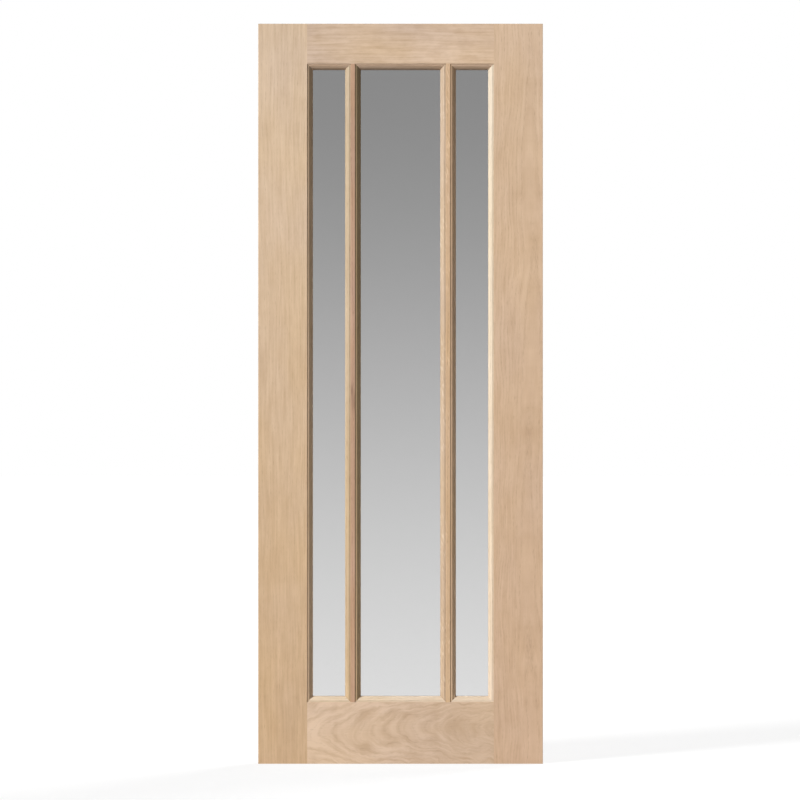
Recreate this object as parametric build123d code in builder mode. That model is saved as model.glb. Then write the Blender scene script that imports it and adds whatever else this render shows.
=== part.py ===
from build123d import *
import os

# Glazed interior door leaf with three tall panes side by side.
# Stiles and rails are engineered members: a laminated core between two oak facings, with a solid
# oak lipping on the outer edge of each stile. Two solid oak bars part the opening into three
# lights, and mitred oak beads on both faces hold the glass.
# +X runs from the hinge edge to the lock edge, +Y from the front to the back, +Z up. The origin is
# on the hinge edge, at the foot of the leaf and half way through it.

# Leaf
leaf_width = 762.0
leaf_height = 1981.0
leaf_thickness = 35.0

# Frame members, as seen from the front
stile_width = 131.0
top_rail_height = 107.0
bottom_rail_height = 165.0
bar_width = 12.0
bar_spacing = 255.0  # between the centre lines of the two bars

# Make-up of stiles and rails
facing_thickness = 3.0
lipping_width = 8.0
arris_radius = 0.8  # eased outer corners of the leaf and corners of the bars

# Glass
glass_thickness = 4.0
glass_edge_gap = 2.0  # from the edge of a pane to the frame around it

# Section of the glazing bead
bead_width = 15.0
bead_setback = 2.0  # of the bead below the face of the leaf
bead_land = 5.0  # flat margin beside the frame
bead_quirk = 0.8  # step down from the land to the ovolo
bead_sight_edge = 3.0  # upright edge beside the glass
ovolo_rise = 1.2  # height of the ovolo over its chord

# Planes that the members share
half_thickness = leaf_thickness / 2
core_face = half_thickness - facing_thickness
glass_face = glass_thickness / 2
opening_bottom = bottom_rail_height
opening_top = leaf_height - top_rail_height
lock_stile_start = leaf_width - stile_width
left_bar_centre = (leaf_width - bar_spacing) / 2
right_bar_centre = (leaf_width + bar_spacing) / 2

# Spans through the leaf, from front to back
core_depth = (-core_face, core_face)
whole_depth = (-half_thickness, half_thickness)
glass_depth = (-glass_face, glass_face)
facing_depths = {
    "front": (-half_thickness, -core_face),
    "back": (core_face, half_thickness),
}


def middle(span):
    return (span[0] + span[1]) / 2


def length(span):
    return span[1] - span[0]


def finish(piece, name):
    """Names a finished piece and writes it."""
    piece.part.label = name
    export_step(piece.part, f"parts/{name}.step")


def upright(name, across, depth, rise, eased_at=None):
    """An upright member: its plan section run from the foot to the head of the rise.

    eased_at picks the upright edges whose corners are taken off, by their place across the leaf.
    """
    with BuildPart() as piece:
        with BuildSketch(Plane.XY.offset(rise[0])):
            with Locations((middle(across), middle(depth))):
                Rectangle(length(across), length(depth))
        extrude(amount=length(rise))
        if eased_at:
            fillet(piece.edges().filter_by(Axis.Z).filter_by(eased_at), arris_radius)
    finish(piece, name)


def crosswise(name, across, depth, rise):
    """A level member: its end section run from the hinge side to the lock side."""
    with BuildPart() as piece:
        with BuildSketch(Plane.YZ.offset(across[0])):
            with Locations((middle(depth), middle(rise))):
                Rectangle(length(depth), length(rise))
        extrude(amount=length(across))
    finish(piece, name)


def on_outer_corner(edge):
    """True on the four upright corners of the whole leaf."""
    place = edge.center()
    at_side = min(place.X, leaf_width - place.X) < arris_radius
    return at_side and half_thickness - abs(place.Y) < arris_radius


def stile(name, edge_name, across, lipping, core):
    """A stile: facings across its whole width, over the core and the lipping on its outer edge."""
    full_height = (0, leaf_height)
    upright(f"{name}_core", core, core_depth, full_height)
    upright(f"{edge_name}_lipping", lipping, core_depth, full_height)
    for face, depth in facing_depths.items():
        upright(f"{name}_{face}_facing", across, depth, full_height, on_outer_corner)


def rail(name, rise):
    """A rail between the stiles: a core and two facings."""
    across = (stile_width, lock_stile_start)
    crosswise(f"{name}_core", across, core_depth, rise)
    for face, depth in facing_depths.items():
        crosswise(f"{name}_{face}_facing", across, depth, rise)


def bar(name, centre):
    """A solid glazing bar between the rails, its four long corners eased."""
    across = (centre - bar_width / 2, centre + bar_width / 2)
    upright(name, across, whole_depth, (opening_bottom, opening_top), lambda edge: True)


def pane(name, across):
    """A sheet of glass, clear of the frame all round."""
    inside = (across[0] + glass_edge_gap, across[1] - glass_edge_gap)
    rise = (opening_bottom + glass_edge_gap, opening_top - glass_edge_gap)
    upright(name, inside, glass_depth, rise)


def bead(name, corner, inward, into_leaf, run_length):
    """One glazing bead, mitred at both ends.

    The section lies with X from the frame towards the sight line and Y from the face of the leaf
    towards the glass. It starts at a corner of the opening and runs along one side.
    """
    run = inward.cross(into_leaf)
    section = Plane(origin=corner, x_dir=inward, z_dir=run)
    glass_depth_below_face = half_thickness - glass_face
    ovolo_top = (bead_land, bead_setback + bead_quirk)
    ovolo_foot = (bead_width, glass_depth_below_face - bead_sight_edge)
    with BuildPart() as piece:
        with BuildSketch(section):
            with BuildLine():
                Polyline(
                    ovolo_top,
                    (bead_land, bead_setback),
                    (0, bead_setback),
                    (0, glass_depth_below_face),
                    (bead_width, glass_depth_below_face),
                    ovolo_foot,
                )
                SagittaArc(ovolo_foot, ovolo_top, ovolo_rise)
            make_face()
        extrude(amount=run_length)
        split(bisect_by=Plane(origin=corner, z_dir=run - inward))
        split(bisect_by=Plane(origin=corner + run * run_length, z_dir=-run - inward))
    finish(piece, name)


def beads(pane_name, across):
    """The eight beads of one pane: four mitred together on each face."""
    left, right = across
    for face, side in (("front", -1), ("back", 1)):
        face_y = side * half_thickness
        into_leaf = Vector(0, -side, 0)
        bottom_left = Vector(left, face_y, opening_bottom)
        top_left = Vector(left, face_y, opening_top)
        top_right = Vector(right, face_y, opening_top)
        bottom_right = Vector(right, face_y, opening_bottom)
        sides = {
            "left": (bottom_left, top_left, Vector(1, 0, 0)),
            "top": (top_left, top_right, Vector(0, 0, -1)),
            "right": (top_right, bottom_right, Vector(-1, 0, 0)),
            "bottom": (bottom_right, bottom_left, Vector(0, 0, 1)),
        }
        for side_name, (first, last, inward) in sides.items():
            start = first if face == "front" else last
            name = f"{pane_name}_{face}_{side_name}_bead"
            bead(name, start, inward, into_leaf, (last - first).length)


os.makedirs("parts", exist_ok=True)

stile(
    "hinge_stile",
    "hinge_edge",
    across=(0, stile_width),
    lipping=(0, lipping_width),
    core=(lipping_width, stile_width),
)
stile(
    "lock_stile",
    "lock_edge",
    across=(lock_stile_start, leaf_width),
    lipping=(leaf_width - lipping_width, leaf_width),
    core=(lock_stile_start, leaf_width - lipping_width),
)
rail("top_rail", (opening_top, leaf_height))
rail("bottom_rail", (0, bottom_rail_height))
bar("left_bar", left_bar_centre)
bar("right_bar", right_bar_centre)

lights = {
    "left": (stile_width, left_bar_centre - bar_width / 2),
    "centre": (left_bar_centre + bar_width / 2, right_bar_centre - bar_width / 2),
    "right": (right_bar_centre + bar_width / 2, lock_stile_start),
}
for light_name, light_across in lights.items():
    pane(f"{light_name}_glass", light_across)
    beads(light_name, light_across)
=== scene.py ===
import math
from typing import NamedTuple

import bmesh
import bpy
from bpy.props import FloatProperty, FloatVectorProperty, IntProperty, PointerProperty
from mathutils import Matrix, Vector


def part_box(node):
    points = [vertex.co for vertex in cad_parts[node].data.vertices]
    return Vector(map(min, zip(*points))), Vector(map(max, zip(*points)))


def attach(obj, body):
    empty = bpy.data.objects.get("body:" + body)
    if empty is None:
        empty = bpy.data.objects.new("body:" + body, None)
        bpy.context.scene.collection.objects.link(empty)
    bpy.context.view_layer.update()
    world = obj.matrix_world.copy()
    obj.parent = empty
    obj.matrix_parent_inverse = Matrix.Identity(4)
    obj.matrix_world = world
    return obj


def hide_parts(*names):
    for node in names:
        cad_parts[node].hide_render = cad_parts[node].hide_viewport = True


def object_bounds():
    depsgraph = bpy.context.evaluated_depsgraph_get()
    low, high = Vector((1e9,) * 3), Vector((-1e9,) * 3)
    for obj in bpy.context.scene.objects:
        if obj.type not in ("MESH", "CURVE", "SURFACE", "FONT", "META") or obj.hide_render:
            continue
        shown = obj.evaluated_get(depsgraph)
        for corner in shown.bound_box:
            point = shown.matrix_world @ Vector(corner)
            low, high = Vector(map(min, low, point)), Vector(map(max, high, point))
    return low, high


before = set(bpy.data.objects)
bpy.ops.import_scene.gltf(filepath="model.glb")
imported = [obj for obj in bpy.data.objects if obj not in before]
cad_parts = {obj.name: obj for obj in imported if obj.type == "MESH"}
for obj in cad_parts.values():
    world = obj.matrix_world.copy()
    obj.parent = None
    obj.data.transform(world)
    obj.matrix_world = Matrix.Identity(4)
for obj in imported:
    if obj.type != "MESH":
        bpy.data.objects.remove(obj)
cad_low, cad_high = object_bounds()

bl_info = {
    "name": "Glazed oak door",
    "version": (1, 0, 0),
    "blender": (4, 5, 0),
    "location": "3D View > Sidebar > Door",
    "description": "Oak finishes, moulded glazing beads, clear panes and a white studio for a door leaf",
    "category": "Object",
}

BODY = "root"
LIGHTS = ("left", "centre", "right")
SIDES = ("left", "top", "right", "bottom")
SEEN_FROM_BEHIND = ("right", "top", "left", "bottom")
SAME_PLACE = 1e-6  # metres between points that are taken to be one
SMOOTH_UNDER = math.radians(25)  # angle between faces that shade as one
leaf_size = cad_high - cad_low
leaf_middle = (cad_low + cad_high) / 2


# Settings


class OakSettings(bpy.types.PropertyGroup):
    """Colours and grain of the oak."""

    pale: FloatVectorProperty(
        name="Pale grain",
        description="Smooth late wood",
        subtype="COLOR",
        default=(0.715, 0.520, 0.352),
    )
    deep: FloatVectorProperty(
        name="Deep grain",
        description="Open early wood",
        subtype="COLOR",
        default=(0.560, 0.385, 0.240),
    )
    pore: FloatVectorProperty(
        name="Pores",
        description="Open pores cut lengthwise",
        subtype="COLOR",
        default=(0.300, 0.190, 0.110),
    )
    fleck: FloatVectorProperty(
        name="Ray flecks",
        description="Pale rays on boards cut through the heart",
        subtype="COLOR",
        default=(0.900, 0.700, 0.500),
    )
    ring: FloatProperty(
        name="Ring width", description="Growth of one year", default=0.0032, min=0.0005, unit="LENGTH"
    )
    roughness: FloatProperty(
        name="Roughness",
        description="Of the sanded surface",
        default=0.58,
        min=0.0,
        max=1.0,
        subtype="FACTOR",
    )
    shine: FloatProperty(
        name="Shine",
        description="Specular level of the bare wood",
        default=0.35,
        min=0.0,
        max=1.0,
        subtype="FACTOR",
    )
    relief: FloatProperty(
        name="Relief",
        description="Depth of the pores",
        default=0.00012,
        min=0.0,
        unit="LENGTH",
    )


class BeadSettings(bpy.types.PropertyGroup):
    """Section of the glazing bead, measured from the frame and from the face of the leaf."""

    land: FloatProperty(
        name="Land", description="Flat margin beside the frame", default=0.005, unit="LENGTH"
    )
    quirk: FloatProperty(
        name="Quirk", description="Step from the land to the ovolo", default=0.0008, unit="LENGTH"
    )
    sight_edge: FloatProperty(
        name="Sight edge", description="Upright edge beside the glass", default=0.003, unit="LENGTH"
    )
    rise: FloatProperty(
        name="Ovolo rise", description="Height of the ovolo over its chord", default=0.0012, unit="LENGTH"
    )
    steps: IntProperty(
        name="Ovolo steps", description="Facets round the ovolo", default=14, min=4, max=48
    )
    ease: FloatProperty(
        name="Eased edge", description="Rounding of the land's corner", default=0.0004, unit="LENGTH"
    )
    ease_steps: IntProperty(
        name="Eased steps", description="Facets round the eased edge", default=3, min=1, max=12
    )
    mitre: FloatProperty(
        name="Mitre line", description="Chamfer along each mitre", default=0.00018, unit="LENGTH"
    )


class CoreSettings(bpy.types.PropertyGroup):
    """Glued softwood strips of the cores, which show at the head and the foot."""

    pale: FloatVectorProperty(
        name="Spring wood", description="Pale part of a ring", subtype="COLOR", default=(0.74, 0.56, 0.34)
    )
    deep: FloatVectorProperty(
        name="Summer wood", description="Dark part of a ring", subtype="COLOR", default=(0.56, 0.37, 0.18)
    )
    tone: FloatVectorProperty(
        name="Dull strips",
        description="Colour of the dullest strip",
        subtype="COLOR",
        default=(0.62, 0.43, 0.24),
    )
    glue: FloatVectorProperty(
        name="Glue lines", description="Between the strips", subtype="COLOR", default=(0.30, 0.20, 0.11)
    )
    strip: FloatProperty(
        name="Strip width", description="Of one glued strip", default=0.026, min=0.005, unit="LENGTH"
    )
    ring: FloatProperty(
        name="Ring width", description="Growth of one year", default=0.0034, min=0.0005, unit="LENGTH"
    )


class GlassSettings(bpy.types.PropertyGroup):
    """Painted shade on the panes: a neutral tint that fades from dark at the head to light at the foot.
    """

    head: FloatVectorProperty(
        name="Painted shade at head", description="At the top of a pane", subtype="COLOR", default=(0.219,) * 3
    )
    foot: FloatVectorProperty(
        name="Painted shade at foot", description="At the bottom of a pane", subtype="COLOR", default=(0.763,) * 3
    )
    ior: FloatProperty(name="IOR", description="Of float glass", default=1.5, min=1.0, max=2.0)


class StudioSettings(bpy.types.PropertyGroup):
    """Camera, lamps and floor."""

    focal_length: FloatProperty(
        name="Focal length", description="Of the camera", default=135.0, min=20.0, unit="CAMERA"
    )
    key: FloatProperty(name="Key lamp", description="From the upper left", default=5.0, min=0.0)
    back: FloatProperty(name="Back lamp", description="From behind, upper right", default=3.6, min=0.0)
    sky: FloatProperty(name="Sky", description="Even light from all round", default=0.12, min=0.0)
    floor: FloatProperty(
        name="Floor",
        description="Share of light that the floor returns to the door",
        default=0.30,
        min=0.0,
        max=1.0,
        subtype="FACTOR",
    )


class DoorSettings(bpy.types.PropertyGroup):
    """All settings of the door."""

    oak: PointerProperty(type=OakSettings)
    bead: PointerProperty(type=BeadSettings)
    core: PointerProperty(type=CoreSettings)
    glass: PointerProperty(type=GlassSettings)
    studio: PointerProperty(type=StudioSettings)


# Shader maths


class Socket:
    """A node's output. Arithmetic on it adds Math nodes."""

    def __init__(self, graph, output):
        self.graph = graph
        self.output = output

    def other(self, name):
        return Socket(self.graph, self.output.node.outputs[name])

    def math(self, operation, *values):
        return self.graph.add("ShaderNodeMath", {"operation": operation}, dict(enumerate(values)))

    def __add__(self, value):
        return self.math("ADD", self, value)

    def __radd__(self, value):
        return self.math("ADD", value, self)

    def __sub__(self, value):
        return self.math("SUBTRACT", self, value)

    def __rsub__(self, value):
        return self.math("SUBTRACT", value, self)

    def __mul__(self, value):
        return self.math("MULTIPLY", self, value)

    def __rmul__(self, value):
        return self.math("MULTIPLY", value, self)

    def __truediv__(self, value):
        return self.math("DIVIDE", self, value)

    def __rtruediv__(self, value):
        return self.math("DIVIDE", value, self)

    def __pow__(self, value):
        return self.math("POWER", self, value)

    def __rpow__(self, value):
        return self.math("POWER", value, self)


class Graph:
    """The nodes of one material or of the world."""

    def __init__(self, owner):
        owner.use_nodes = True
        self.tree = owner.node_tree
        self.tree.nodes.clear()

    def add(self, kind, settings=None, sockets=None, output=0):
        """Adds a node, with its settings first and then the values or links of its sockets."""
        node = self.tree.nodes.new(kind)
        for name, value in (settings or {}).items():
            setattr(node, name, value)
        for name, value in (sockets or {}).items():
            if isinstance(value, Socket):
                self.tree.links.new(value.output, node.inputs[name])
            else:
                node.inputs[name].default_value = value
        return Socket(self, node.outputs[output]) if node.outputs else node

    def place(self):
        """The three coordinates of a point of the piece."""
        at = self.add("ShaderNodeTexCoord", output="Object")
        x = self.add("ShaderNodeSeparateXYZ", sockets={"Vector": at}, output="X")
        return {"X": x, "Y": x.other("Y"), "Z": x.other("Z")}

    def noise(self, x, y, z, detail=2.0, roughness=0.5):
        vector = self.add("ShaderNodeCombineXYZ", sockets={"X": x, "Y": y, "Z": z})
        return self.add(
            "ShaderNodeTexNoise",
            {"noise_dimensions": "3D"},
            {"Vector": vector, "Scale": 1.0, "Detail": detail, "Roughness": roughness},
            "Fac",
        )

    def ramp(self, value, low, high, to_low=0.0, to_high=1.0, curve="LINEAR"):
        return self.add(
            "ShaderNodeMapRange",
            {"interpolation_type": curve, "clamp": True},
            {"Value": value, "From Min": low, "From Max": high, "To Min": to_low, "To Max": to_high},
        )

    def mix(self, share, first, second, blend="MIX"):
        return self.add(
            "ShaderNodeMix",
            {"data_type": "RGBA", "blend_type": blend},
            {0: share, 6: colour(first), 7: colour(second)},
            2,
        )

    def surface(self, **sockets):
        shader = self.add("ShaderNodeBsdfPrincipled", sockets=sockets)
        self.add("ShaderNodeOutputMaterial", sockets={"Surface": shader})


def colour(value):
    """A colour socket, or four numbers from three."""
    return value if isinstance(value, Socket) else (*value[:3], 1.0)


# Finishes


class Figure(NamedTuple):
    """One kind of figure in oak, drawn by noise."""

    across: float  # waves in a metre across the grain
    along: float  # waves in a metre along it
    shift: float = 0.0  # keeps the figures of one board apart
    stops: tuple = (0.0, 1.0)  # values at which it starts and is full


BEND = Figure(5.0, 1.6, 1.7)
CURL = Figure(16.0, 14.0, 4.2)
STREAK = Figure(150.0, 1.6)
MOTTLE = Figure(60.0, 30.0, 2.6)
FINE_LINE = Figure(700.0, 12.0, 3.3)
FIBRE = Figure(900.0, 14.0)
PORE = Figure(2300.0, 75.0, stops=(0.72, 0.88))
LIGHT_PATCH = Figure(8.0, 3.0, 5.9, (0.32, 0.68))
WARM_PATCH = Figure(9.0, 4.0, 8.3, (0.32, 0.68))
RAY = Figure(330.0, 42.0, 7.1, (0.56, 0.66))
RAY_GROUP = Figure(20.0, 9.0, 9.4, (0.42, 0.56))
RAY_SLANT = 70.0  # waves that the rays gain in a metre along the grain
KNOT_LENGTH = 4.0  # of a knot's mark, in its widths
CORE_BEND = Figure(60.0, 3.0)
CORE_FIBRE = Figure(900.0, 20.0)

# share of pale grain on average, and what each figure adds or takes
MEAN_SHADE = 0.65
STREAK_SHADE = 1.4
FINE_LINE_SHADE = 0.5
FIBRE_SHADE = 0.6
RING_SHADE = 0.2

# share of the pore colour in any pore, in a ring line's pores besides, and in a knot
PORE_DARK = 0.22
LINE_PORE_DARK = 0.33
KNOT_DARK = 0.6
EARLY_PORES = 0.22  # by which more of the early wood is pores

# heights, where a pore is 1 deep
FIBRE_HEIGHT = 0.25
EARLY_DEPTH = 0.3
RELIEF_STRENGTH = 0.6

# roughness that pores and fibres add, and what they add on average
PORE_ROUGH = 0.15
FIBRE_ROUGH = 0.1
MEAN_ROUGH = 0.06

# what a full polish takes from the roughness and adds to the shine
POLISH_SMOOTH = 0.16
POLISH_SHINE = 0.3

# red, green and blue that a patch gains or loses
PATCH_TINTS = {LIGHT_PATCH: (0.035, 0.040, 0.045), WARM_PATCH: (0.0, 0.010, 0.045)}


class Board(NamedTuple):
    """How one oak piece was cut from the log, and its tone from end to end, which on the beads and the
    stiles is partly painted light and shade.
    """

    along: str  # axis of the leaf that the grain follows
    across: str  # axis across the board's face
    heart: float  # place of the heart of the log across the board
    depth: float = 0.06  # of the heart behind the middle of the leaf
    lean: float = 0.012  # of the heart, in metres per metre of grain
    wander: float = 0.010  # slow bends of the grain
    curl: float = 0.0  # short waves of the grain
    streaks: float = 1.0  # strength of the light and dark streaks
    broken: float = 2.0  # how often a streak ends along the grain
    lines: float = 1.0  # strength of the ring lines and of the pores in them
    mottle: float = 0.6  # strength of the short soft patches between the streaks
    patches: float = 1.0  # strength of the broad patches of colour
    flecks: float = 0.0  # strength of the pale rays
    gloss: float = 0.0  # polish beyond the sanded surface
    seed: float = 0.0  # another number gives another board
    start: tuple = (1.0, 1.0, 1.0)  # tone at the low end of the grain
    end: tuple = (1.0, 1.0, 1.0)  # tone at its high end
    knots: tuple = ()  # of (across, along, size)


def oak(name, board, settings):
    """Sanded oak: growth rings cut lengthwise, streaks, fibres and open pores."""
    material = bpy.data.materials.new(name)
    graph = Graph(material)
    place = graph.place()
    along, across, through = place[board.along], place[board.across], place["Y"]

    def waves(figure, side=across, **noise):
        """A figure that is the same from the front of the board to its back."""
        return graph.noise(side * figure.across, board.seed + figure.shift, along * figure.along, **noise)

    def hairs(figure, **noise):
        """A figure that changes through the board too."""
        inward = through * figure.across + board.seed
        return graph.noise(across * figure.across, inward, along * figure.along, **noise)

    # distance from the heart of the log, along a grain that bends
    sway = (waves(BEND) - 0.5) * (2.0 * board.wander)
    if board.curl:
        sway = sway + (waves(CURL, detail=3.0) - 0.5) * (2.0 * board.curl)
    dark = 0.0
    for knot_across, knot_along, size in board.knots:
        wide = (across - knot_across) / size
        tall = (along - knot_along) / (KNOT_LENGTH * size)
        near = wide.math("EXPONENT", 0.0 - wide * wide - tall * tall)
        sway = sway + near * size
        dark = dark + near
    aside = across - board.heart + sway
    behind = along * board.lean + through + board.depth
    radius = (aside * aside + behind * behind) ** 0.5

    # figures that follow the rings, and those that follow the fibres
    streak = waves(STREAK._replace(along=STREAK.along * board.broken), radius, detail=3.0)
    mottle = waves(MOTTLE, radius)
    fine = waves(FINE_LINE, radius)
    fibre = hairs(FIBRE)
    ring = radius / settings.ring + streak
    early = ring.math("PINGPONG", ring, 1.0) ** 3.0
    pores = graph.ramp(hairs(PORE, detail=0.0) + early * EARLY_PORES, *PORE.stops)

    # colour
    shade = (streak - 0.5) * (STREAK_SHADE * board.streaks) + (mottle - 0.5) * board.mottle
    shade = shade + (fine - 0.5) * FINE_LINE_SHADE + (fibre - 0.5) * FIBRE_SHADE
    shade = shade + MEAN_SHADE - early * (RING_SHADE * board.lines)
    base = graph.mix(shade, settings.deep, settings.pale)
    base = graph.mix(pores * (PORE_DARK + LINE_PORE_DARK * board.lines), base, settings.pore)
    if board.knots:
        base = graph.mix(dark * KNOT_DARK, base, settings.pore)
    if board.flecks:
        slant = across * RAY.across + along * RAY_SLANT
        ray = graph.noise(slant, board.seed + RAY.shift, along * RAY.along, detail=1.0)
        shown = graph.ramp(ray, *RAY.stops) * graph.ramp(waves(RAY_GROUP), *RAY_GROUP.stops)
        base = graph.mix(shown * board.flecks, base, settings.fleck)
    for figure, tint in PATCH_TINTS.items():
        dull, fresh = (tuple(1.0 + sign * board.patches * share for share in tint) for sign in (-1, 1))
        patch = graph.mix(graph.ramp(waves(figure), *figure.stops), dull, fresh)
        base = graph.mix(1.0, base, patch, blend="MULTIPLY")
    low, high = (cad_low.z, cad_high.z) if board.along == "Z" else (cad_low.x, cad_high.x)
    tone = graph.mix(graph.ramp(along, low, high), board.start, board.end)
    base = graph.mix(1.0, base, tone, blend="MULTIPLY")

    # surface
    height = fibre * FIBRE_HEIGHT - pores - early * EARLY_DEPTH
    bump = graph.add(
        "ShaderNodeBump",
        sockets={"Height": height, "Distance": settings.relief, "Strength": RELIEF_STRENGTH},
    )
    rough = settings.roughness - POLISH_SMOOTH * board.gloss - MEAN_ROUGH
    graph.surface(
        **{
            "Base Color": base,
            "Roughness": pores * PORE_ROUGH + fibre * FIBRE_ROUGH + rough,
            "Normal": bump,
            "Specular IOR Level": settings.shine + POLISH_SHINE * board.gloss,
        }
    )
    return material


def softwood(name, along, seed, settings):
    """Laminated core: glued strips of pale softwood, each with its own tone and rings."""
    heart_depth = 0.028  # of the heart of a strip's log behind the middle of the leaf
    heart_spread = 0.06  # over which the hearts of the strips lie to either side
    ring_sway = 0.006  # by which a ring wanders
    glue_line = 0.03  # as a share of the strip
    glue_depth, glue_strength = 0.0002, 0.5
    least_shade, late_shade, fibre_shade = 0.1, 0.8, 0.5  # shares of summer wood
    dullest = 0.35  # share of the dull colour in the dullest strip
    early_rough, late_smooth = 0.72, 0.1
    next_strip = 40.0  # how far apart the strips lie in the noise

    material = bpy.data.materials.new(name)
    graph = Graph(material)
    place = graph.place()
    across, through, length = place["X" if along == "Z" else "Z"], place["Y"], place[along]

    strip = across / settings.strip
    number = strip.math("FLOOR", strip)
    joint = graph.ramp(strip.math("PINGPONG", strip, 0.5), 0.0, glue_line)
    tone = graph.add(
        "ShaderNodeTexWhiteNoise", {"noise_dimensions": "1D"}, {"W": number + seed}, "Value"
    )

    def grain(figure):
        side = across * figure.across + tone * next_strip
        return graph.noise(side, through * figure.across, length * figure.along) - 0.5

    aside = (strip - number - 0.5) * settings.strip + (tone - 0.5) * heart_spread
    behind = through + grain(CORE_BEND) * ring_sway + heart_depth
    ring = (aside * aside + behind * behind) ** 0.5 / settings.ring
    late = ring.math("FRACT", ring) ** 2.0
    shade = late * late_shade + grain(CORE_FIBRE) * fibre_shade + least_shade

    base = graph.mix(shade, settings.pale, settings.deep)
    base = graph.mix(tone * dullest, base, settings.tone)
    base = graph.mix(1.0 - joint, base, settings.glue)
    bump = graph.add(
        "ShaderNodeBump",
        sockets={"Height": joint, "Distance": glue_depth, "Strength": glue_strength},
    )
    graph.surface(**{"Base Color": base, "Roughness": early_rough - late * late_smooth, "Normal": bump})
    return material


def clear_glass(name, low, high, settings):
    """Clear glass with painted shade: its neutral tint fades from dark at the head to light at the foot
    of the pane.
    """
    over_head, under_foot = 0.037, 0.277  # how far the fade runs past the pane, as shares of its height
    material = bpy.data.materials.new(name)
    graph = Graph(material)
    height = graph.place()["Z"]
    reach = high - low
    # painted shade: the tint is darkest at the head of the pane and lightest at the foot
    painted_shade_fade = graph.ramp(height, high + over_head * reach, low - under_foot * reach, curve="SMOOTHSTEP")
    graph.surface(
        **{
            "Base Color": graph.mix(painted_shade_fade, settings.head, settings.foot),
            "Roughness": 0.0,
            "IOR": settings.ior,
            "Transmission Weight": 1.0,
        }
    )
    return material


def finish_node(name, material):
    """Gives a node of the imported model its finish."""
    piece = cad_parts[name]
    piece.data.materials.clear()
    piece.data.materials.append(material)


# Modelling


def new_piece(name):
    """A new mesh of one vertex at the origin, in edit mode."""
    bpy.ops.object.select_all(action="DESELECT")
    bpy.ops.mesh.primitive_plane_add(size=0.01)
    piece = bpy.context.object
    piece.name = piece.data.name = name
    bpy.ops.object.mode_set(mode="EDIT")
    bpy.ops.mesh.select_mode(type="VERT")
    bpy.ops.mesh.select_all(action="SELECT")
    bpy.ops.mesh.merge(type="CENTER")
    return piece


def pick_edges(piece, wanted):
    """Selects the edges of a piece in edit mode for which wanted is true."""
    bpy.ops.mesh.select_mode(type="EDGE")
    bpy.ops.mesh.select_all(action="DESELECT")
    mesh = bmesh.from_edit_mesh(piece.data)
    for edge in mesh.edges:
        edge.select = wanted(*(v.co.copy() for v in edge.verts))
    mesh.select_flush_mode()
    bmesh.update_edit_mesh(piece.data)


def moulded_bead(name, length, width, setback, bottom, settings):
    """A bead along +Z from a corner of the opening, with X towards the glass and Y into the leaf.

    The section is drawn point by point, its ovolo spun about the arc's centre. It is then run to
    its length, mitred at both ends, and eased along the land and the mitres.
    """
    top = Vector((settings.land, setback + settings.quirk, 0))
    foot = Vector((width, bottom - settings.sight_edge, 0))
    chord = foot - top
    radius = chord.length**2 / (8 * settings.rise) + settings.rise / 2
    towards_heart = Vector((-chord.y, chord.x, 0)).normalized()
    centre = (top + foot) / 2 + towards_heart * (radius - settings.rise)
    sweep = 2 * math.asin(chord.length / 2 / radius)

    piece = new_piece(name)
    bpy.ops.transform.translate(value=top)
    bpy.ops.mesh.spin(steps=settings.steps, angle=sweep, center=centre, axis=(0, 0, -1))
    turns = (
        (width, bottom),
        (0.0, bottom),
        (0.0, setback),
        (settings.land, setback),
    )
    last = foot
    for x, y in turns:
        corner = Vector((x, y, 0))
        bpy.ops.mesh.extrude_vertices_move(TRANSFORM_OT_translate={"value": corner - last})
        last = corner
    bpy.ops.mesh.select_all(action="SELECT")
    bpy.ops.mesh.remove_doubles(threshold=SAME_PLACE)
    bpy.ops.mesh.edge_face_add()
    bpy.ops.mesh.extrude_region_move(TRANSFORM_OT_translate={"value": (0, 0, length)})
    bpy.ops.mesh.select_all(action="SELECT")
    bpy.ops.mesh.normals_make_consistent(inside=False)
    for end, normal in ((0.0, (1, 0, -1)), (length, (1, 0, 1))):
        bpy.ops.mesh.select_all(action="SELECT")
        bpy.ops.mesh.bisect(plane_co=(0, 0, end), plane_no=normal, use_fill=True, clear_outer=True)

    def land_corner(a, b):
        edge = Vector((settings.land, setback))
        return all((p.xy - edge).length < SAME_PLACE for p in (a, b))

    def mitre_rim(a, b):
        at_start = all(p.z < p.x + SAME_PLACE for p in (a, b))
        at_end = all(length - p.z < p.x + SAME_PLACE for p in (a, b))
        shown = all(p.y < bottom - SAME_PLACE for p in (a, b)) and max(a.x, b.x) > SAME_PLACE
        return (at_start or at_end) and shown

    pick_edges(piece, land_corner)
    bpy.ops.mesh.bevel(offset=settings.ease, segments=settings.ease_steps, affect="EDGES")
    pick_edges(piece, mitre_rim)
    bpy.ops.mesh.bevel(offset=settings.mitre, segments=1, affect="EDGES", clamp_overlap=True)
    bpy.ops.mesh.select_all(action="SELECT")
    bpy.ops.mesh.normals_make_consistent(inside=False)
    bpy.ops.object.mode_set(mode="OBJECT")
    bpy.ops.object.shade_smooth_by_angle(angle=SMOOTH_UNDER)
    return piece


def copy_to(pattern, name, matrix):
    """A copy of a modelled piece with its own mesh, its place in that mesh."""
    piece = pattern.copy()
    piece.data = pattern.data.copy()
    piece.name = piece.data.name = name
    piece.data.transform(matrix)
    bpy.context.collection.objects.link(piece)
    return piece


# Operators


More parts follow.
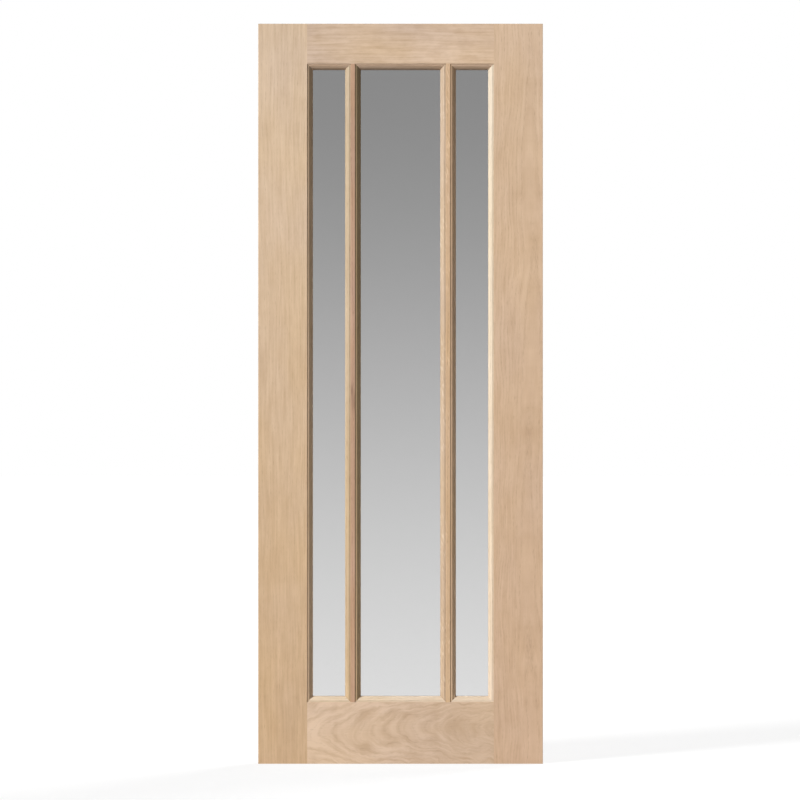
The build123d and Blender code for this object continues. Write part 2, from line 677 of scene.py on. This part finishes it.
class DOOR_OT_stiles(bpy.types.Operator):
    """Finish the two stiles: facings, cores and edge lippings"""

    bl_idname = "door.stiles"
    bl_label = "Stiles"

    def execute(self, context):
        door = context.scene.door
        low, high = cad_low.x, cad_high.x
        boards = {
            # the front facings run lighter towards the head: partly the oak's own tone, partly painted
            # light, brighter at the top
            "hinge_stile_front_facing": Board(
                along="Z",
                across="X",
                heart=low - 0.02,
                wander=0.02,
                broken=5.0,
                lines=0.25,
                mottle=0.5,
                patches=1.1,
                seed=211.0,
                start=(0.883, 0.830, 0.732),
                end=(0.962, 1.006, 1.056),
            ),
            "hinge_stile_back_facing": Board("Z", "X", heart=low + 0.05, seed=23.0),
            "lock_stile_front_facing": Board(
                along="Z",
                across="X",
                heart=high - 0.03,
                wander=0.045,
                curl=0.004,
                broken=6.0,
                lines=0.4,
                mottle=0.5,
                patches=0.8,
                seed=322.0,
                start=(0.850, 0.803, 0.797),
                end=(0.927, 0.926, 0.943),
            ),
            "lock_stile_back_facing": Board("Z", "X", heart=high + 0.03, seed=41.0),
            "hinge_edge_lipping": Board("Z", "Y", heart=0.05, seed=53.0),
            "lock_edge_lipping": Board("Z", "Y", heart=-0.06, seed=61.0),
        }
        for name, board in boards.items():
            finish_node(name, oak(f"oak {name}", board, door.oak))
        for name, seed in (("hinge_stile_core", 0.0), ("lock_stile_core", 3.0)):
            finish_node(name, softwood(f"softwood {name}", "Z", seed, door.core))
        return {"FINISHED"}


class DOOR_OT_rails(bpy.types.Operator):
    """Finish the two rails: facings and cores"""

    bl_idname = "door.rails"
    bl_label = "Rails"

    def execute(self, context):
        door = context.scene.door
        foot, head = cad_low.z, cad_high.z
        boards = {
            "top_rail_front_facing": Board(
                along="X",
                across="Z",
                heart=head + 0.03,
                wander=0.02,
                streaks=1.4,
                broken=5.0,
                lines=0.1,
                mottle=1.2,
                patches=2.0,
                seed=71.0,
                start=(0.880, 0.904, 0.967),
                end=(0.948, 0.965, 1.042),
            ),
            "top_rail_back_facing": Board("X", "Z", heart=head - 0.14, streaks=1.4, seed=83.0),
            "bottom_rail_front_facing": Board(
                along="X",
                across="Z",
                heart=foot + 0.08,
                depth=0.17,
                lean=-0.18,
                wander=0.04,
                curl=0.03,
                streaks=1.9,
                broken=10.0,
                lines=0.15,
                mottle=0.9,
                seed=99.0,
                start=(1.040, 1.055, 1.095),
                end=(0.822, 0.814, 0.838),
            ),
            "bottom_rail_back_facing": Board(
                along="X",
                across="Z",
                heart=foot + 0.05,
                depth=0.05,
                lean=0.08,
                wander=0.02,
                curl=0.006,
                streaks=1.4,
                seed=103.0,
            ),
        }
        for name, board in boards.items():
            finish_node(name, oak(f"oak {name}", board, door.oak))
        for name, seed in (("top_rail_core", 20.0), ("bottom_rail_core", 23.0)):
            finish_node(name, softwood(f"softwood {name}", "X", seed, door.core))
        return {"FINISHED"}


class DOOR_OT_bars(bpy.types.Operator):
    """Finish the two glazing bars"""

    bl_idname = "door.bars"
    bl_label = "Glazing bars"

    def execute(self, context):
        boards = {
            "left_bar": Board(
                along="Z",
                across="X",
                heart=0.20,
                streaks=1.5,
                patches=2.2,
                gloss=0.5,
                seed=432.0,
                start=(0.714, 0.610, 0.585),
                end=(0.699, 0.614, 0.648),
                knots=((0.2575, 0.968, 0.007), (0.251, 1.000, 0.004)),
            ),
            "right_bar": Board(
                along="Z",
                across="X",
                heart=0.56,
                streaks=1.3,
                patches=1.2,
                flecks=0.6,
                gloss=0.5,
                seed=361.0,
                start=(0.867, 0.806, 0.688),
                end=(0.859, 0.812, 0.758),
            ),
        }
        for name, board in boards.items():
            finish_node(name, oak(f"oak {name}", board, context.scene.door.oak))
        return {"FINISHED"}


class DOOR_OT_beads(bpy.types.Operator):
    """Mould the glazing beads and set four of them round each face of every pane"""

    bl_idname = "door.beads"
    bl_label = "Glazing beads"

    # tones of each bead at the low and at the high end of its grain: partly the timber's own tone, partly
    # painted light and shade.
    # The beads on the shaded side of each stile and bar (left_left, centre_left, right_left) carry
    # painted shade that runs from light at the foot to dark at the head, and the top bead carries painted
    # shade too; right_right and the bottom bead are whitened as painted highlight.
    tone_and_painted_light = {
        "left_left": ((1.19, 1.18, 1.14), (0.69, 0.69, 0.67)),
        "left_right": ((0.61, 0.59, 0.51), (0.64, 0.69, 0.69)),
        "centre_left": ((0.93, 0.90, 0.77), (0.42, 0.42, 0.34)),
        "centre_right": ((0.62, 0.61, 0.60), (0.67, 0.70, 0.74)),
        "right_left": ((1.14, 1.10, 1.04), (0.84, 0.80, 0.77)),
        "right_right": ((0.83, 0.90, 0.99), (0.89, 1.06, 1.22)),
        "top": ((0.88, 0.87, 0.92), (0.88, 0.87, 0.92)),
        "bottom": ((0.99, 1.10, 1.21), (0.99, 1.10, 1.21)),
    }
    flecked = {"centre_right": 0.6}
    heart = -0.4  # far aside, so that the rings run straight
    first_seed, next_seed = 131.0, 7.0

    def execute(self, context):
        wood = context.scene.door.oak
        self.settings = context.scene.door.bead
        self.woods_with_painted_light = {}
        # each bead's oak is built from its tones, which carry its painted light and shade
        for number, (name, (start, end)) in enumerate(self.tone_and_painted_light.items()):
            cut = ("X", "Z") if name in SIDES else ("Z", "X")
            flecks = self.flecked.get(name, 0.0)
            seed = self.first_seed + self.next_seed * number
            board = Board(*cut, self.heart, flecks=flecks, seed=seed, start=start, end=end)
            self.woods_with_painted_light[name] = oak(f"oak bead with painted light {name}", board, wood)
        self.patterns = {}
        for light in LIGHTS:
            self.surround(light, "front", cad_low.y, SIDES, Matrix.Identity(4))
            self.surround(light, "back", cad_high.y, SEEN_FROM_BEHIND, Matrix.Rotation(math.pi, 4, "Z"))
        for pattern in self.patterns.values():
            bpy.data.objects.remove(pattern)
        return {"FINISHED"}

    def surround(self, light, face, face_y, sides, flip):
        """Four mitred beads on one face of one pane, clockwise from the left as that face is seen."""
        nodes = [f"{light}_{face}_{side}_bead" for side in sides]
        left_low, left_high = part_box(nodes[0])
        right_low, right_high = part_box(nodes[2])
        width = left_high.x - left_low.x
        foot, head = left_low.z, left_high.z
        near, far = (left_low.x, right_high.x) if face == "front" else (left_high.x, right_low.x)
        # from the face of the leaf to the front and to the back of a bead
        depths = sorted(abs(y - face_y) for y in (left_low.y, left_high.y))
        # where each bead starts
        corners = ((near, foot), (near, head), (far, head), (far, foot))
        for turn, (node, (x, z)) in enumerate(zip(nodes, corners)):
            along = "ZX"[turn % 2]
            length = head - foot if along == "Z" else abs(far - near)
            swing = Matrix.Rotation(turn * math.pi / 2, 4, "Y")
            matrix = Matrix.Translation((x, face_y, z)) @ flip @ swing
            piece = copy_to(self.pattern(length, width, *depths), f"{node}_moulding", matrix)
            tone_and_painted_light = f"{light}_{sides[turn]}" if along == "Z" else sides[turn]
            piece.data.materials.append(self.woods_with_painted_light[tone_and_painted_light])
            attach(piece, BODY)
            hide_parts(node)

    def pattern(self, length, width, setback, bottom):
        """The bead of one length, modelled the first time it is asked for."""
        key = round(length, 5)
        if key not in self.patterns:
            name = f"bead_of_{length * 1000:.0f}_mm"
            self.patterns[key] = moulded_bead(name, length, width, setback, bottom, self.settings)
        return self.patterns[key]


class DOOR_OT_glass(bpy.types.Operator):
    """Finish the panes"""

    bl_idname = "door.glass"
    bl_label = "Panes"

    def execute(self, context):
        low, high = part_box("centre_glass")
        material = clear_glass("clear glass with painted shade", low.z, high.z, context.scene.door.glass)
        for light in LIGHTS:
            finish_node(f"{light}_glass", material)
        return {"FINISHED"}


class DOOR_OT_studio(bpy.types.Operator):
    """Set the camera, the lamps, the floor and the white background"""

    bl_idname = "door.studio"
    bl_label = "Studio"

    picture_size = 800.0
    leaf_top, leaf_bottom, leaf_centre = 23.7, 763.8, 400.55  # pixels from the top and the left
    # directions to the lamps
    key_from = Vector((-1.5, -1.0, 0.85))
    back_from = Vector((1.0, 1.0, 0.8))
    key_spread, back_spread = 12.0, 30.0  # degrees of sky that a lamp fills
    floor_size = 60.0
    floor_paint, floor_glow = 0.9, 0.8  # as the camera sees the floor

    def execute(self, context):
        settings = context.scene.door.studio
        bpy.ops.object.select_all(action="DESELECT")
        self.camera(context.scene, settings)
        self.lamp("Key lamp", self.key_from, settings.key, self.key_spread)
        self.lamp("Back lamp", self.back_from, settings.back, self.back_spread)
        self.sky(context.scene, settings)
        self.floor(settings)
        context.scene.view_settings.view_transform = "Standard"
        return {"FINISHED"}

    def camera(self, scene, settings):
        """Straight on, with the leaf where the photograph has it."""
        metres_a_pixel = leaf_size.z / (self.leaf_bottom - self.leaf_top)
        half = self.picture_size / 2
        across = leaf_middle.x + (half - self.leaf_centre) * metres_a_pixel
        up = leaf_middle.z - (half - (self.leaf_top + self.leaf_bottom) / 2) * metres_a_pixel
        bpy.ops.object.camera_add(rotation=(math.pi / 2, 0, 0))
        camera = bpy.context.object
        camera.data.lens = settings.focal_length
        reach = half * metres_a_pixel * camera.data.lens / (camera.data.sensor_width / 2)
        camera.location = (across, cad_low.y - reach, up)
        scene.camera = camera

    def lamp(self, name, source, strength, spread):
        bpy.ops.object.light_add(type="SUN")
        lamp = bpy.context.object
        lamp.name = name
        lamp.rotation_euler = source.to_track_quat("Z", "Y").to_euler()
        lamp.data.energy = strength
        lamp.data.angle = math.radians(spread)

    def looks(self, graph):
        """1 where the camera looks straight, and 1 where it looks by way of gloss or glass.

        Light that has met the wood counts as neither, so the white background adds none to it.
        """
        straight = graph.add("ShaderNodeLightPath", output="Is Camera Ray")
        gloss, glass = straight.other("Is Glossy Ray"), straight.other("Is Transmission Ray")
        from_wood = graph.ramp(straight.other("Diffuse Depth"), 0.0, 1.0)
        return straight, gloss.math("MAXIMUM", gloss, glass) * (1.0 - from_wood)

    def sky(self, scene, settings):
        scene.world = bpy.data.worlds.new("Studio")
        graph = Graph(scene.world)
        straight, bounced = self.looks(graph)
        strength = graph.ramp(straight + bounced, 0.0, 1.0, settings.sky, 1.0)
        sky = graph.add("ShaderNodeBackground", sockets={"Color": (1, 1, 1, 1), "Strength": strength})
        graph.add("ShaderNodeOutputWorld", sockets={"Surface": sky})

    def floor(self, settings):
        bpy.ops.mesh.primitive_plane_add(size=self.floor_size, location=(leaf_middle.x, 0, cad_low.z))
        floor = bpy.context.object
        floor.name = "Floor"
        material = bpy.data.materials.new("white floor")
        graph = Graph(material)
        straight, bounced = self.looks(graph)
        paint = graph.mix(straight, (settings.floor,) * 3, (self.floor_paint,) * 3)
        matt = graph.add("ShaderNodeBsdfDiffuse", sockets={"Color": paint})
        glow = graph.add("ShaderNodeEmission", sockets={"Color": (1, 1, 1, 1), "Strength": 1.0})
        share = straight * self.floor_glow + bounced
        both = graph.add("ShaderNodeMixShader", sockets={0: share, 1: matt, 2: glow})
        graph.add("ShaderNodeOutputMaterial", sockets={"Surface": both})
        floor.data.materials.append(material)


OPERATORS = (
    DOOR_OT_stiles,
    DOOR_OT_rails,
    DOOR_OT_bars,
    DOOR_OT_beads,
    DOOR_OT_glass,
    DOOR_OT_studio,
)


class DOOR_PT_workshop(bpy.types.Panel):
    """Lists the door's operators and settings"""

    bl_label = "Glazed oak door"
    bl_idname = "DOOR_PT_workshop"
    bl_space_type = "VIEW_3D"
    bl_region_type = "UI"
    bl_category = "Door"

    def draw(self, context):
        for operator in OPERATORS:
            self.layout.operator(operator.bl_idname)
        door = context.scene.door
        for group in (door.oak, door.bead, door.core, door.glass, door.studio):
            box = self.layout.box()
            for name in group.__annotations__:
                box.prop(group, name)


CLASSES = (
    OakSettings,
    BeadSettings,
    CoreSettings,
    GlassSettings,
    StudioSettings,
    DoorSettings,
    *OPERATORS,
    DOOR_PT_workshop,
)


def register():
    for cls in CLASSES:
        bpy.utils.register_class(cls)
    bpy.types.Scene.door = PointerProperty(type=DoorSettings)


def unregister():
    del bpy.types.Scene.door
    for cls in reversed(CLASSES):
        bpy.utils.unregister_class(cls)


def main():
    register()
    bpy.ops.door.stiles()
    bpy.ops.door.rails()
    bpy.ops.door.bars()
    bpy.ops.door.beads()
    bpy.ops.door.glass()
    bpy.ops.door.studio()


if __name__ == "__main__":
    main()
